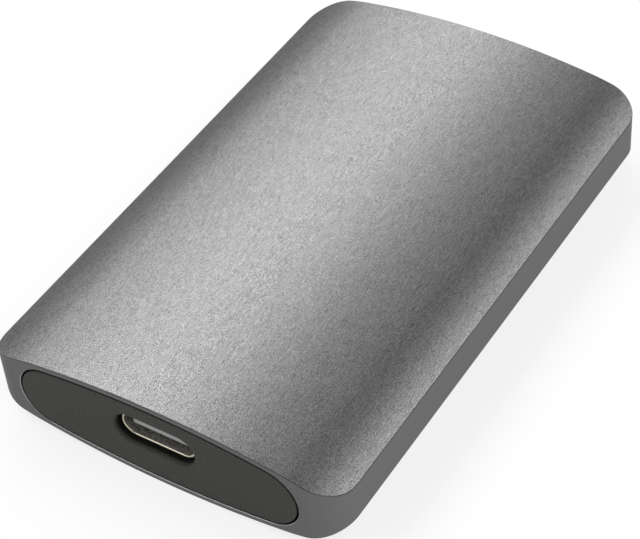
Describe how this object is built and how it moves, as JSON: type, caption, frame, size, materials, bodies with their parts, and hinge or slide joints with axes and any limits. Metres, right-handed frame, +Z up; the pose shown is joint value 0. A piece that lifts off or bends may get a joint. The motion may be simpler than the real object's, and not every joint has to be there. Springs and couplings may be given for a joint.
{
  "type": "external solid state drive",
  "caption": "Pocket external solid state drive: crowned extruded aluminium tube with flat sides, flush dark plastic end caps and a reversible plug port in one end.",
  "frame": {"origin": "under the middle of the drive, at the lowest line of its crowned underside", "axes": "+Z up out of the top crown, +Y along the drive from the port end to the plain end, +X to the right seen from the port end"},
  "size_m": [0.042, 0.066, 0.011],
  "materials": {
    "anodised_aluminium": "bead blasted and anodised dark grey",
    "cap_plastic": "fine moulded texture",
    "tray_plastic": "moulded",
    "board_laminate": "solder mask over glass-epoxy",
    "socket_steel": "drawn and nickel plated",
    "socket_resin": "moulded liquid crystal polymer",
    "contact_gold": "gold plated",
    "package_resin": "moulded epoxy",
    "crystal_lid": "plated lid",
    "inductor_ferrite": "pressed ferrite powder",
    "capacitor_ceramic": "fired ceramic",
    "resistor_film": "glazed",
    "gap_filler": "soft filled silicone",
    "screw_steel": "zinc plated"
  },
  "bodies": {
    "root": {"housing": "anodised_aluminium", "front_cap": "cap_plastic", "rear_cap": "cap_plastic", "carrier_tray": "tray_plastic", "main_board": "board_laminate", "board_screws": "screw_steel", "socket_shell": "socket_steel", "socket_insulator": "socket_resin", "socket_contacts": "contact_gold", "flash_package_left": "package_resin", "flash_package_right": "package_resin", "flash_controller": "package_resin", "bridge_chip": "package_resin", "buffer_memory": "package_resin", "firmware_memory": "package_resin", "bridge_crystal": "crystal_lid", "controller_crystal": "crystal_lid", "bridge_inductor": "inductor_ferrite", "controller_inductor": "inductor_ferrite", "bridge_regulator": "package_resin", "controller_regulator": "package_resin", "capacitors": "capacitor_ceramic", "resistors": "resistor_film", "thermal_pad": "gap_filler"}
  },
  "joints": []
}
